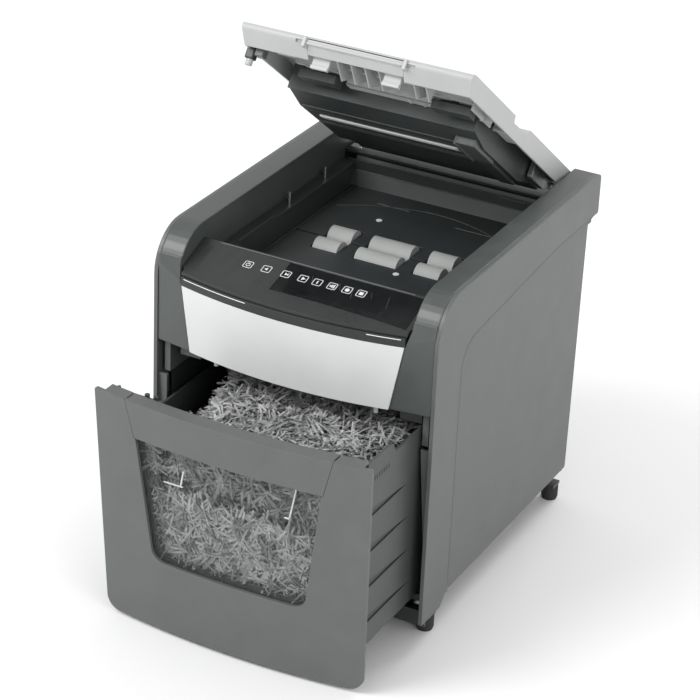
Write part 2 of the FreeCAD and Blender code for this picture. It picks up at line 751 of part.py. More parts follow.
def leaning_slab(back, thick):
    """Curved slab across the bin front, leaning back toward its foot."""
    r = (front_top_half ** 2 + front_swell ** 2) / (2 * front_swell)
    start = front_edge - front_swell + back
    x = 150.0
    drop = r - math.sqrt(r * r - x * x)
    a, m, b = V(-x, start + drop, slab_top), V(0, start, slab_top), V(x, start + drop, slab_top)
    shift = V(0, thick, 0)
    near = Part.Arc(a, m, b).toShape()
    far = Part.Arc(b + shift, m + shift, a + shift).toShape()
    face = Part.Face(Part.Wire([near, Part.makeLine(b, b + shift), far, Part.makeLine(a + shift, a)]))
    fall = 280.0
    lean = front_lean * fall / (front_top_z - front_low_z)
    return face.extrude(V(0, lean, -fall))


window_top = 204.0
window_low = 79.0


def front_outline(i):
    return rounded([(-front_top_half + i, front_top_z - i), (front_top_half - i, front_top_z - i),
                    (front_low_half - i, front_low_z + i), (-front_low_half + i, front_low_z + i)],
                   [2, 2, 14, 14])


def window_outline(i):
    return rounded([(-95 - i, window_top + 1), (95 + i, window_top + 1), (79 + i, window_low - i),
                    (-79 - i, window_low - i)], [0, 0, 14 + i, 14 + i])


def bar_outline(i):
    return [(-105.5 - i, front_top_z + 1), (105.5 + i, front_top_z + 1), (96 + i, window_top - i),
            (-96 - i, window_top - i)]


def make_bin_front():
    slab = leaning_slab(0, front_skin).common(front_prism(front_outline(0), -80, 80))
    rim = leaning_slab(front_skin - 0.1, 12).common(box(-130, 130, -80, 80, front_top_z - 3,
            front_top_z))
    panel = slab.fuse(rim)
    panel = panel.cut(front_prism(window_outline(0), -80, 80))
    return panel.cut(front_prism(bar_outline(0.4), -80, 80))


def make_bin_handle():
    bar = leaning_slab(0, front_skin).common(front_prism(bar_outline(0), -80, 80))
    bar = bar.common(box(-200, 200, -80, 80, 0, front_top_z))
    lip = leaning_slab(front_skin - 0.1, 12).common(box(-104, 104, -80, 80, front_top_z - 3,
            front_top_z))
    return bar.fuse(lip)


pocket_half = 75.0
pocket_low = 160.0
pocket_deep = 20.0


def make_bin_window():
    pane = leaning_slab(front_skin + 0.2, 2.0).common(front_prism(window_outline(4), -80, 80))
    pane = pane.common(box(-200, 200, -80, 80, 0, 230))
    mouth = [(-pocket_half, 240), (pocket_half, 240), (pocket_half - 4, pocket_low),
            (-pocket_half + 4, pocket_low)]
    cavity = front_prism(mouth, -80, 80)
    deep = leaning_slab(front_skin + 0.2, pocket_deep)
    outer_mouth = [(-pocket_half - 2, 226), (pocket_half + 2, 226), (pocket_half - 2, pocket_low - 2),
                   (-pocket_half + 2, pocket_low - 2)]
    shell = deep.common(front_prism(outer_mouth, -80, 80))
    hollow = leaning_slab(front_skin - 1, pocket_deep - 0.8).common(cavity)
    return pane.fuse(shell).cut(hollow)


def make_tub():
    """Open bin: high beside its front, lower behind, with wedge grooves down its sides."""
    u0 = 12.0
    outer = box(-tub_half, tub_half, u0, tub_len, tub_z, rim_front_z)
    profile = rounded([(u0, rim_front_z), (u0 + 46, rim_front_z), (u0 + 52, rim_z), (tub_len, rim_z),
                       (tub_len, tub_z), (u0, tub_z)], [0, 5, 3, 4, 6, 0])
    outer = outer.common(side_prism(profile, -200, 200))
    inner = box(-tub_half + wall, tub_half - wall, u0 + wall, tub_len - wall, tub_z + wall, 300)
    tub = outer.cut(inner)
    tub = tub.cut(box(-tub_half - 1, -tub_half + wall + 0.5, u0 + 8, tub_len - 8, left_rim_z,
            rim_front_z + 1))
    opening = front_prism(window_outline(2), u0 - 5, u0 + wall + 1)
    tub = tub.cut(opening).cut(box(-pocket_half - 4, pocket_half + 4, 0, u0 + wall + 1, 150, 300))
    for k in range(4):
        z = 179 - 37 * k
        groove = side_prism([(u0 + 2, z), (u0 + 2, z + 10), (u0 + 80 + 6 * k, z)], tub_half - 1.8,
                tub_half + 2)
        tub = tub.cut(groove).cut(mirror(groove))
    return tub


def heap_solid(i):
    """The heap, shrunk by i all round: it lies lower along the scooped left wall."""
    u0, u1 = 38.0 + i, tub_len - wall - 2 - i
    low = tub_z + wall + 0.4 + i
    x = tub_half - wall - 1.0 - i
    side = side_prism([(u0, low), (u0, 212 - i), (u0 + 60, 216 - i), (u1 - 60, 212 - i), (u1,
            200 - i), (u1, low)], -x, x)
    return side.common(front_prism([(-x, low), (-x, 150 - i), (-40, 214 - i), (30, 217 - i), (x,
            211 - i), (x, low)], 0, 400))


def make_shreds():
    """Heap of shredded paper, a light crust closed all round."""
    return heap_solid(0).cut(heap_solid(4.0))


def make_bin_pegs():
    """Two small pegs on the bin's front wall that show the machine that the bin is home."""
    return [post(x, 13.25, rim_front_z, rim_front_z + 3.5, 2.4) for x in (-95, -86)]


# ---- electrics and small fittings ----

def make_control_board():
    board = box(-100, -30, 52, 54, deck_top, 288)
    caps = [stub(x, 268, 54, 70, 7) for x in (-88, -70)]
    relay = box(-60, -40, 54, 70, 255, 275)
    return [board] + caps + [relay]


def make_lid_switch():
    body = box(switch_x - 6, switch_x + 4, switch_u - 7, switch_u + 9, 296, 312)
    return body.cut(post(switch_x, switch_u, 304, 320, 2.65))


def make_lid_plunger():
    """Button under the lid's peg; it stands just clear of the peg when the lid is shut."""
    return post(switch_x, switch_u, 307.5, lid_top - 33 - gap, 2.6)


def make_bin_switch():
    body = box(98, 112, 296, 312, 206, head_z)
    return body.cut(stub(105, 215, 290, 304, 2.45))


def make_bin_plunger():
    """Button that the back of the bin meets when it is pushed home."""
    return stub(105, 215, tub_len + gap, 300, 2.4)


def make_cord_gland():
    body = stub(-96, 62, low_rear - 9, low_rear + 6, 6.1).fuse(stub(-96, 62, low_rear - 3.4,
            low_rear - 1, 8.5))
    return body.cut(stub(-96, 62, low_rear - 20, low_rear + 20, 3.6))


def screw(x, u, z):
    head = post(x, u, z, z + 2.4, 3.6)
    along = box(x - 2.2, x + 2.2, u - 0.4, u + 0.4, z + 1.4, z + 3)
    across = box(x - 0.4, x + 0.4, u - 2.2, u + 2.2, z + 1.4, z + 3)
    return head.cut(along).cut(across)


def make_deck_screws():
    return [screw(x, u, deck_top) for x in (-126, 126) for u in (40, 120, 264, 310)]


def save_pair(name, shape):
    save(name + "_right", shape)
    save(name + "_left", mirror(shape))


def write_cabinet():
    save_pair("side_panel", make_side_panel())
    save_pair("bin_guide", make_bin_guide())
    save("rear_panel", make_rear_panel())
    save("base", make_base())
    save("feet", *[make_foot(x, u) for x in (-foot_x, foot_x) for u in foot_u])
    block = make_head_block()
    save("head_blocks", block, mirror(block))
    save("head_deck", make_deck())
    save("shred_chute", make_shred_chute())
    save("cord_gland", make_cord_gland())
    save("deck_screws", *make_deck_screws())


def write_head():
    save_pair("cheek", make_cheek())
    save("fascia", make_fascia())
    save("fascia_pegs", *make_fascia_pegs())
    save("trim_strip", make_trim_strip())
    save("control_panel", make_control_panel())
    save("status_window", make_status_window())
    save("panel_bracket", make_panel_bracket())
    save("paper_tray", make_paper_tray())
    save("tray_pins", *make_tray_pins())
    save("sensor_lenses", *make_sensor_lenses())
    save("control_board", *make_control_board())
    save("lid_switch", make_lid_switch())
    save("lid_plunger", make_lid_plunger())
    save("bin_switch", make_bin_switch())
    save("bin_plunger", make_bin_plunger())


def write_mechanism():
    for row, name in enumerate(("front", "rear")):
        save("cutter_" + name, make_cutter(row))
        save("feed_shaft_" + name, make_feed_shaft(row))
        save("feed_rollers_" + name, *make_rollers(row))
    save("stripper_combs", make_stripper_comb(0), make_stripper_comb(1))
    save("side_plate_right", make_side_plate(1))
    save("side_plate_left", make_side_plate(-1))
    save("bushes", *make_bushes())
    save("tie_rods", *make_tie_rods())
    save("motor", make_motor())
    save("motor_pinion", make_motor_pinion())
    save("drive_gear", make_drive_gear())
    save("idler_gear", make_idler_gear())
    save("gear_axles", *make_gear_axles())


def write_lid():
    save("lid_shell", swing(make_lid_shell()))
    save("lid_latch", swing(make_lid_latch()))
    save("lid_liner", swing(make_lid_liner()))
    save("lid_arms", swing(make_lid_arm(1)), swing(make_lid_arm(-1)))
    save("hinge_brackets", make_hinge_bracket(1), make_hinge_bracket(-1))
    save("hinge_pins", *make_hinge_pins())
    save("pressure_pad_right", swing(make_pad(pad_right_x)))
    save("pressure_pad_left", swing(make_pad(pad_left_x)))
    save("pad_brackets", *[swing(make_pad_bracket(x)) for x in (pad_left_x, pad_right_x)])
    save("pad_springs", *[swing(make_pad_spring(x)) for x in (pad_left_x, pad_right_x)])


def write_bin():
    save("bin_tub", slide(make_tub()))
    save("bin_front", slide(make_bin_front()))
    save("bin_handle", slide(make_bin_handle()))
    save("bin_window", slide(make_bin_window()))
    save("bin_pegs", *[slide(peg) for peg in make_bin_pegs()])
    save("shredded_paper", slide(make_shreds()))


os.makedirs("parts", exist_ok=True)
write_cabinet()
write_head()
write_mechanism()
write_lid()
write_bin()
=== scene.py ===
import json
import math
import random

import bpy
import numpy as np
from mathutils import Euler, Matrix, Vector


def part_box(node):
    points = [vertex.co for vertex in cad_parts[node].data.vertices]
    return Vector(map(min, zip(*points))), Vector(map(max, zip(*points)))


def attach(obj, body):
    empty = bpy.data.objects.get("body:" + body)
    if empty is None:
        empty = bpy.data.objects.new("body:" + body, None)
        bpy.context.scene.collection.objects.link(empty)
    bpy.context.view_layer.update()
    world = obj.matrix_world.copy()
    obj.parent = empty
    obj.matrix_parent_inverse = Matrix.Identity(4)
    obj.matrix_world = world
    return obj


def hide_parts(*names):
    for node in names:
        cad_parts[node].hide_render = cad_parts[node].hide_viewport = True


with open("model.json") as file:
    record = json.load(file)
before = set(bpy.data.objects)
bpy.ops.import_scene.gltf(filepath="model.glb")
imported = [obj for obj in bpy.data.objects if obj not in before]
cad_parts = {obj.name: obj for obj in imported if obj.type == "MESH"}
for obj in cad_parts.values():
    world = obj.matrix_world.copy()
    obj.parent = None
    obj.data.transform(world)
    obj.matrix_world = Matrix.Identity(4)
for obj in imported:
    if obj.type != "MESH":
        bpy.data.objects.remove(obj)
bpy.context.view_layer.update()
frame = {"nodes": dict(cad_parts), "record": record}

nodes = frame["nodes"]
mm = 0.001


def selectNone():
    if bpy.context.mode != "OBJECT":
        bpy.ops.object.mode_set(mode="OBJECT")
    bpy.ops.object.select_all(action="DESELECT")


def only(piece):
    selectNone()
    piece.select_set(True)
    bpy.context.view_layer.objects.active = piece


def settle(piece):  # place and turn go into the mesh, the object stays at the origin
    only(piece)
    bpy.ops.object.transform_apply(location=True, rotation=True, scale=True)


def applyAll(piece):
    only(piece)
    for modifier in list(piece.modifiers):
        bpy.ops.object.modifier_apply(modifier=modifier.name)


def block(name, low, high, bevel=0.0, segments=2):
    selectNone()
    middle = [(a + b) / 2 for a, b in zip(low, high)]
    bpy.ops.mesh.primitive_cube_add(size=1, location=middle)
    piece = bpy.context.object
    piece.name = name
    piece.scale = [b - a for a, b in zip(low, high)]
    settle(piece)
    if bevel:
        edge = piece.modifiers.new("edge", "BEVEL")
        edge.width = bevel
        edge.segments = segments
        applyAll(piece)
    return piece


def joined(name, pieces):
    only(pieces[0])
    for piece in pieces[1:]:
        piece.select_set(True)
    bpy.ops.object.join()
    pieces[0].name = name
    settle(pieces[0])
    return pieces[0]


def outwardNormals(piece):
    only(piece)
    bpy.ops.object.mode_set(mode="EDIT")
    bpy.ops.mesh.select_all(action="SELECT")
    bpy.ops.mesh.normals_make_consistent(inside=False)
    bpy.ops.object.mode_set(mode="OBJECT")


def clamped(share):
    return max(0.0, min(1.0, share))


roughShare = {"wide": 0.6, "fine": 0.4}   # how much each noise adds to the roughness
edgeFacing = (0.9, 0.995)                 # how far a softened normal leans before an edge is painted lighter, partly as wear and partly as a painted highlight


def newFinish(name):
    finish = bpy.data.materials.new(name)
    finish.use_nodes = True
    tree = finish.node_tree
    shader = tree.nodes["Principled BSDF"]
    return finish, tree, shader


def noiseAt(tree, coords, scale, detail=3.0, stretch=None):
    if stretch:
        mapping = tree.nodes.new("ShaderNodeMapping")
        mapping.inputs["Scale"].default_value = stretch
        tree.links.new(coords, mapping.inputs["Vector"])
        coords = mapping.outputs["Vector"]
    noise = tree.nodes.new("ShaderNodeTexNoise")
    noise.inputs["Scale"].default_value = scale
    noise.inputs["Detail"].default_value = detail
    tree.links.new(coords, noise.inputs["Vector"])
    return noise.outputs["Fac"]


def spread(tree, value, low, high, fromLow=0.3, fromHigh=0.7):
    node = tree.nodes.new("ShaderNodeMapRange")
    node.inputs["From Min"].default_value = fromLow
    node.inputs["From Max"].default_value = fromHigh
    node.inputs["To Min"].default_value = low
    node.inputs["To Max"].default_value = high
    tree.links.new(value, node.inputs["Value"])
    return node.outputs["Result"]


def mixColours(tree, factor, first, second):
    mix = tree.nodes.new("ShaderNodeMix")
    mix.data_type = "RGBA"
    tree.links.new(factor, mix.inputs["Factor"])
    for socket, value in ((mix.inputs["A"], first), (mix.inputs["B"], second)):
        if hasattr(value, "links"):
            tree.links.new(value, socket)
        else:
            socket.default_value = (*value, 1)
    return mix.outputs["Result"]


def mathNode(tree, operation, a, b=None):
    node = tree.nodes.new("ShaderNodeMath")
    node.operation = operation
    for socket, value in zip(node.inputs, (a, b)):
        if value is None:
            continue
        if hasattr(value, "links"):
            tree.links.new(value, socket)
        else:
            socket.default_value = value
    return node.outputs["Value"]


def tinted(colour, share):
    return tuple(max(0.0, min(1.0, c * share)) for c in colour)


def makeFinish(name, colour, rough=0.45, roughSpread=0.08, grain=0.0, grainSize=0.6 * mm, depth=0.02 * mm,
               mottle=0.06, mottleSize=30 * mm, edge=1.25, bevel=0.5 * mm, stretch=None, metallic=0.0,
               coat=0.0, alpha=1.0, specular=0.5):
    finish, tree, shader = newFinish(name)
    coords = tree.nodes.new("ShaderNodeTexCoord").outputs["Object"]
    softEdge = tree.nodes.new("ShaderNodeBevel")
    softEdge.samples = 4
    softEdge.inputs["Radius"].default_value = bevel
    geometry = tree.nodes.new("ShaderNodeNewGeometry")
    facing = tree.nodes.new("ShaderNodeVectorMath")
    facing.operation = "DOT_PRODUCT"
    tree.links.new(softEdge.outputs["Normal"], facing.inputs[0])
    tree.links.new(geometry.outputs["True Normal"], facing.inputs[1])
    wide = noiseAt(tree, coords, 1 / mottleSize, 4)
    fine = noiseAt(tree, coords, 1 / grainSize, 2, stretch)
    darker, lighter = tinted(colour, 1 - mottle), tinted(colour, 1 + mottle)
    base = mixColours(tree, spread(tree, wide, 0, 1), darker, lighter)
    # edges are painted lighter by the factor edge: partly wear, partly a painted highlight where light catches
    # them
    edgeWearAndHighlight = spread(tree, facing.outputs["Value"], 1, 0, *edgeFacing)
    edgeWearAndHighlight = mathNode(tree, "MULTIPLY", edgeWearAndHighlight, spread(tree, wide, 0.4, 1.0, 0.35, 0.6))
    base = mixColours(tree, edgeWearAndHighlight, base, tinted(colour, edge))
    tree.links.new(base, shader.inputs["Base Color"])
    widePart = mathNode(tree, "MULTIPLY", wide, roughShare["wide"])
    finePart = mathNode(tree, "MULTIPLY", fine, roughShare["fine"])
    streaks = mathNode(tree, "ADD", widePart, finePart)
    roughness = spread(tree, streaks, rough - roughSpread, rough + roughSpread)
    tree.links.new(roughness, shader.inputs["Roughness"])
    bump = tree.nodes.new("ShaderNodeBump")
    bump.inputs["Strength"].default_value = grain
    bump.inputs["Distance"].default_value = depth
    tree.links.new(fine, bump.inputs["Height"])
    tree.links.new(softEdge.outputs["Normal"], bump.inputs["Normal"])
    tree.links.new(bump.outputs["Normal"], shader.inputs["Normal"])
    shader.inputs["Metallic"].default_value = metallic
    shader.inputs["Coat Weight"].default_value = coat
    shader.inputs["Alpha"].default_value = alpha
    shader.inputs["Specular IOR Level"].default_value = specular
    return finish


# edge: how much lighter each finish is painted at its edges, partly wear and partly a painted highlight
finishes = {
    "grey_case": dict(colour=(0.105, 0.113, 0.110), rough=0.42, grain=0.5, grainSize=0.7 * mm, edge=1.5,
                      bevel=0.9 * mm),
    "rim_grey": dict(colour=(0.072, 0.080, 0.078), rough=0.34, grain=0.5, grainSize=0.7 * mm, edge=1.7,
                     bevel=2.4 * mm),
    "bin_grey": dict(colour=(0.058, 0.063, 0.062), rough=0.42, grain=0.4, grainSize=0.7 * mm, edge=1.5),
    "dark_inner": dict(colour=(0.034, 0.039, 0.039), rough=0.42, grain=0.5, grainSize=0.7 * mm, edge=2.2),
    "silver_face": dict(colour=(0.70, 0.71, 0.71), rough=0.42, roughSpread=0.05, grain=0.4, grainSize=1 * mm,
                        stretch=(0.02, 1, 1), mottle=0.02, metallic=0.15, edge=1.1),
    "black_gloss": dict(colour=(0.034, 0.036, 0.035), rough=0.30, roughSpread=0.05, grain=0.05,
                        mottle=0.1, edge=1.6, specular=0.32),
    "smoked_window": dict(colour=(0.012, 0.013, 0.014), rough=0.14, roughSpread=0.03, grain=0.03,
                          specular=0.3, alpha=0.62, mottle=0.1, edge=2.0),
    "clear_window": dict(colour=(0.40, 0.41, 0.41), rough=0.07, roughSpread=0.04, grain=0.1, grainSize=14 * mm,
                         depth=0.3 * mm, alpha=0.045, mottle=0.1, edge=1.6, specular=0.6),
    "pale_lid": dict(colour=(0.45, 0.46, 0.455), rough=0.42, grain=0.4, grainSize=0.7 * mm, mottle=0.03,
                     edge=1.1),
    "white_part": dict(colour=(0.78, 0.79, 0.79), rough=0.35, grain=0.3, mottle=0.03, edge=1.1),
    "roller_rubber": dict(colour=(0.42, 0.43, 0.42), rough=0.6, grain=0.8, grainSize=1.2 * mm, depth=0.05 * mm,
                          stretch=(8, 1, 1), mottle=0.08, edge=1.2),
    "foot_rubber": dict(colour=(0.02, 0.02, 0.02), rough=0.7, grain=0.8, edge=1.8),
    "cutter_steel": dict(colour=(0.33, 0.33, 0.34), rough=0.32, grain=0.5, stretch=(1, 6, 6), metallic=1.0,
                         edge=1.6),
    "plate_steel": dict(colour=(0.50, 0.51, 0.52), rough=0.36, grain=0.4, grainSize=2 * mm, metallic=1.0,
                        mottle=0.15, mottleSize=9 * mm, edge=1.3),
    "shaft_steel": dict(colour=(0.60, 0.60, 0.61), rough=0.25, grain=0.4, stretch=(6, 1, 1), metallic=1.0,
                        edge=1.2),
    "bronze": dict(colour=(0.45, 0.29, 0.13), rough=0.4, grain=0.6, metallic=1.0, edge=1.3),
    "gear_nylon": dict(colour=(0.62, 0.60, 0.52), rough=0.45, grain=0.3, edge=1.15),
    "shredded_paper": dict(colour=(0.56, 0.56, 0.55), rough=0.85, grain=0.6, grainSize=0.5 * mm, mottle=0.25,
                           mottleSize=8 * mm, edge=1.0, specular=0.2),
    "board_green": dict(colour=(0.02, 0.16, 0.07), rough=0.4, grain=0.5, grainSize=3 * mm, edge=1.4),
}
made = {name: makeFinish(name, **values) for name, values in finishes.items()}


def coverNodes():
    for part in frame["record"]["subparts"]:
        node = nodes[part["node"]]
        node.data.materials.clear()
        node.data.materials.append(made[part["material_slot"]])


coverNodes()
print("finishes on", len(nodes), "nodes")


def finishPiece(piece, body, slotName, material=None):
    piece.data.materials.clear()
    piece.data.materials.append(material or made[slotName])
    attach(piece, body)
    return piece


heap = {
    "seed": 11,
    "shapes": 8,
    "topStrips": 5200,
    "frontStrips": 5200,
    "length": (12 * mm, 32 * mm),
    "width": (1.3 * mm, 2.4 * mm),
    "thick": 0.16 * mm,
    "cuts": 0.17,             # where a strip bends, as a share of its length each side of its middle
    "bow": 0.16,
    "twist": 0.7,
    "top": 214 * mm,          # height of the heap's middle
    "leftFall": 60 * mm,      # how much lower it lies along the left wall
    "leftEdge": -64 * mm,     # where that fall starts at the rear
    "edgeShift": 30 * mm,     # and how far to the right it has moved at the front
    "shiftFrom": 110 * mm,    # the shift starts this far behind the tub's front
    "shiftRun": 86 * mm,
    "fallRun": 42 * mm,
    "frontFall": 5 * mm,
    "frontRun": 70 * mm,
    "bodyDrop": 4 * mm,       # the solid body lies this far under the strips
    "grid": (48, 50),
    "topTilt": (0.35, 0.28),
    "topDepth": 7,            # millimetres the top strips are mixed through
    "frontBias": 1.6,         # crowds the top strips towards the front
    "windowTilt": 0.06,
    "windowLean": 90 - 3.4,   # degrees from lying flat, to match the leaning front
    "windowRun": (8 * mm, 132 * mm),
    "windowLayer": 7 * mm,
}
shredLook = {"cells": 110, "marks": 420, "bump": 0.3, "bumpDeep": 0.05 * mm, "shine": 0.2}
shredTones = {      # darkest and lightest cell of each layer; the cells differ at random, and each layer is one paper painted lighter or darker by how light falls: painted shade on the packed body and behind the window, lit on the loose top
    "packedShredsInShade": ((0.05, 0.05, 0.05), (0.16, 0.16, 0.16)),
    "looseShredsLit": ((0.15, 0.155, 0.155), (0.56, 0.565, 0.56)),
    "windowShredsInShade": ((0.09, 0.095, 0.095), (0.38, 0.385, 0.38)),
}
binFront = {
    "swell": 12 * mm,
    "lean": 14 / 237,         # set back by this much for each metre down
    "paneBack": 6.6 * mm,     # from the outer face to just behind the clear pane
    "pocketHalf": 84 * mm,    # half the finger pocket's width
    "pocketFoot": 84 * mm,    # its foot above the window's foot
}
tubLow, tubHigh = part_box("bin_tub")
windowLow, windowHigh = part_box("bin_window")
frontLow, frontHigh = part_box("bin_front")
wallThick = 3.2 * mm


def heapHeight(x, y):
    forward = clamped((tubLow.y + heap["shiftFrom"] - y) / heap["shiftRun"])
    edge = heap["leftEdge"] + heap["edgeShift"] * forward
    left = clamped((edge - x) / heap["fallRun"])
    left = left * left * (3 - 2 * left)
    front = clamped(1 - (y - tubLow.y) / heap["frontRun"])
    lumps = 2.5 * mm * math.sin(x * 90 + 1.3) * math.cos(y * 75) + 1.5 * mm * math.sin(x * 210 + y * 160)
    return heap["top"] - heap["leftFall"] * left - heap["frontFall"] * front + lumps


def frontFace(x, z):  # depth just behind the clear pane: the front swells at its middle and leans back
    swollen = (1 - (x / frontHigh.x) ** 2) * binFront["swell"]
    lean = (frontHigh.z - z) * binFront["lean"]
    return frontLow.y + binFront["swell"] - swollen + lean + binFront["paneBack"]


def makeStripShapes(count, rng):
    shapes = []
    for k in range(count):
        selectNone()
        bpy.ops.mesh.primitive_cube_add(size=1)
        strip = bpy.context.object
        only(strip)
        bpy.ops.object.mode_set(mode="EDIT")
        for cut in (-heap["cuts"], heap["cuts"]):
            bpy.ops.mesh.select_all(action="SELECT")
            bpy.ops.mesh.bisect(plane_co=(cut, 0, 0), plane_no=(1, 0, 0))
        bpy.ops.object.mode_set(mode="OBJECT")
        bow = rng.uniform(-heap["bow"], heap["bow"])
        twist = rng.uniform(-heap["twist"], heap["twist"])
        points = []
        for vertex in strip.data.vertices:
            x, y, z = vertex.co
            turn = twist * x
            points.append((x, y * math.cos(turn), z, y * math.sin(turn), bow * (0.25 - x * x) * 4))
        faces = [tuple(p.vertices) for p in strip.data.polygons]
        shapes.append((np.array(points), faces))
        bpy.data.objects.remove(strip)
    return shapes


def stripMesh(name, places, shapes, rng):
    verts, faces, start = [], [], 0
    for position, turn in places:
        points, shapeFaces = shapes[rng.randrange(len(shapes))]
        length = rng.uniform(*heap["length"])
        width = rng.uniform(*heap["width"])
        x = points[:, 0] * length
        y = points[:, 1] * width
        z = points[:, 2] * heap["thick"] + points[:, 3] * width * 0.6 + points[:, 4] * length
        local = np.stack([x, y, z], 1) @ np.array(turn.to_matrix()).T + np.array(position)
        verts += local.tolist()
        faces += [tuple(v + start for v in face) for face in shapeFaces]
        start += len(points)
    mesh = bpy.data.meshes.new(name)
    mesh.from_pydata(verts, [], faces)
    mesh.update()
    piece = bpy.data.objects.new(name, mesh)
    bpy.context.scene.collection.objects.link(piece)
    return piece


def stripFinish(name):  # small cells of different shade break the heap up into strips
    dark, light = shredTones[name]
    finish, tree, shader = newFinish(name)
    coords = tree.nodes.new("ShaderNodeTexCoord").outputs["Object"]
    cells = tree.nodes.new("ShaderNodeTexVoronoi")
    cells.inputs["Scale"].default_value = shredLook["cells"]
    tree.links.new(coords, cells.inputs["Vector"])
    inkMarks = noiseAt(tree, coords, shredLook["marks"], 2, (1, 1, 1))
    base = mixColours(tree, cells.outputs["Color"], dark, light)
    base = mixColours(tree, spread(tree, inkMarks, 0, 0.4, 0.55, 0.7), base, tinted(dark, 0.6))
    tree.links.new(base, shader.inputs["Base Color"])
    tree.links.new(spread(tree, inkMarks, 0.75, 0.95), shader.inputs["Roughness"])
    bump = tree.nodes.new("ShaderNodeBump")
    bump.inputs["Strength"].default_value = shredLook["bump"]
    bump.inputs["Distance"].default_value = shredLook["bumpDeep"]
    tree.links.new(inkMarks, bump.inputs["Height"])
    tree.links.new(bump.outputs["Normal"], shader.inputs["Normal"])
    shader.inputs["Specular IOR Level"].default_value = shredLook["shine"]
    return finish


def makeHeapBody(inX, frontY, backY):
    selectNone()
    across, along = heap["grid"]
    bpy.ops.mesh.primitive_grid_add(x_subdivisions=across, y_subdivisions=along, size=2)
    body = bpy.context.object
    body.name = "heapBody"
    floorZ = tubLow.z + wallThick + 1 * mm
    for vertex in body.data.vertices:
        x = vertex.co.x * inX
        y = frontY + (vertex.co.y + 1) / 2 * (backY - frontY)
        vertex.co = (x, y, heapHeight(x, y) - heap["bodyDrop"])
    only(body)
    bpy.ops.object.mode_set(mode="EDIT")
    bpy.ops.mesh.select_all(action="SELECT")
    bpy.ops.mesh.extrude_region_move()
    bpy.ops.object.mode_set(mode="OBJECT")
    for vertex in body.data.vertices:
        if vertex.select:
            vertex.co.z = floorZ
    outwardNormals(body)
    # the packed body takes the darkest copy of the paper: painted shade under and between the loose strips
    finishPiece(body, "bin", "shredded_paper", stripFinish("packedShredsInShade"))
    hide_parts("shredded_paper")
    return body


def topPlaces(rng, inX, frontY, backY):
    places = []
    tiltX, tiltY = heap["topTilt"]
    for k in range(heap["topStrips"]):
        x = rng.uniform(-inX + 12 * mm, inX - 12 * mm)
        y = frontY + 10 * mm + (backY - frontY - 28 * mm) * rng.random() ** heap["frontBias"]
        z = heapHeight(x, y) - rng.uniform(0, heap["topDepth"]) * mm + 2 * mm
        turn = Euler((rng.gauss(0, tiltX), rng.gauss(0, tiltY), rng.uniform(0, math.pi)))
        places.append(((x, y, z), turn))
    return places


def windowPlaces(rng, pocketFoot):  # strips pressed against the clear pane and the finger pocket
    places = []
    low, run = heap["windowRun"]
    tilt = heap["windowTilt"]
    upright = Euler((math.radians(heap["windowLean"]), 0, 0)).to_matrix()
    for k in range(heap["frontStrips"]):
        z = windowLow.z + low + rng.random() * run
        halfWide = 76 * mm + (z - windowLow.z) * 0.13
        x = rng.uniform(-halfWide, halfWide)
        layer = rng.random() * heap["windowLayer"]
        inPocket = z > pocketFoot - 12 * mm and abs(x) < binFront["pocketHalf"]
        start = tubLow.y + 4 * mm if inPocket else frontFace(x, z)
        loose = Euler((rng.gauss(0, tilt), rng.gauss(0, tilt), rng.uniform(0, math.pi))).to_matrix()
        places.append(((x, start + 2 * mm + layer, z), (upright @ loose).to_euler()))
    return places


def makeHeap():
    rng = random.Random(heap["seed"])
    shapes = makeStripShapes(heap["shapes"], rng)
    inX = tubHigh.x - wallThick - 2 * mm
    backY = tubHigh.y - wallThick - 3 * mm
    frontY = tubLow.y + wallThick + 8 * mm
    pocketFoot = windowLow.z + binFront["pocketFoot"]
    body = makeHeapBody(inX, frontY, backY)
    top = stripMesh("heapTopStrips", topPlaces(rng, inX, frontY, backY), shapes, rng)
    # the loose top strips take the lighter, lit copy of the paper
    finishPiece(top, "bin", "shredded_paper", stripFinish("looseShredsLit"))
    front = stripMesh("heapFrontStrips", windowPlaces(rng, pocketFoot), shapes, rng)
    finishPiece(front, "bin", "shredded_paper", stripFinish("windowShredsInShade"))
    # a block of the shade-painted packed paper behind the window strips: painted shade between them
    backing = block("heapFrontBody", (-77 * mm, tubLow.y + 10 * mm, windowLow.z + 6 * mm),
                    (77 * mm, frontY + 6 * mm, pocketFoot + 36 * mm), 1 * mm)
    finishPiece(backing, "bin", "shredded_paper", body.data.materials[0])


makeHeap()
print("shredded paper laid in the bin")


def plateAt(name, x, thick, corners):  # thin upright plate across x, corners as (y, z)
    selectNone()
    bpy.ops.mesh.primitive_circle_add(vertices=len(corners), radius=1, fill_type="NGON")
    piece = bpy.context.object
    piece.name = name
    for vertex, (y, z) in zip(piece.data.vertices, corners):
        vertex.co = (x, y, z)
    only(piece)
    solid = piece.modifiers.new("plate", "SOLIDIFY")
    solid.thickness = thick
    solid.offset = 0
    applyAll(piece)
    outwardNormals(piece)
    return piece


def lineAlong(name, places, radius):  # a fine raised line through places, closed at its ends
    curve = bpy.data.curves.new(name, "CURVE")
    curve.dimensions = "3D"
    curve.bevel_depth = radius
    curve.bevel_resolution = 1
    curve.use_fill_caps = True
    spline = curve.splines.new("POLY")
    spline.points.add(len(places) - 1)
    for point, place in zip(spline.points, places):
        point.co = (*place, 1)
    piece = bpy.data.objects.new(name, curve)
    bpy.context.scene.collection.objects.link(piece)
    only(piece)
    bpy.ops.object.convert(target="MESH")
    return bpy.context.object


def surfaceUnder(x, y, names):  # place and normal of the highest surface of these nodes
    best = None
    for name in names:
        hit, place, normal, _ = nodes[name].ray_cast((x, y, 1.0), (0, 0, -1))
        if hit and (best is None or place.z > best[0].z):
            best = (place.copy(), normal.copy())
    return best


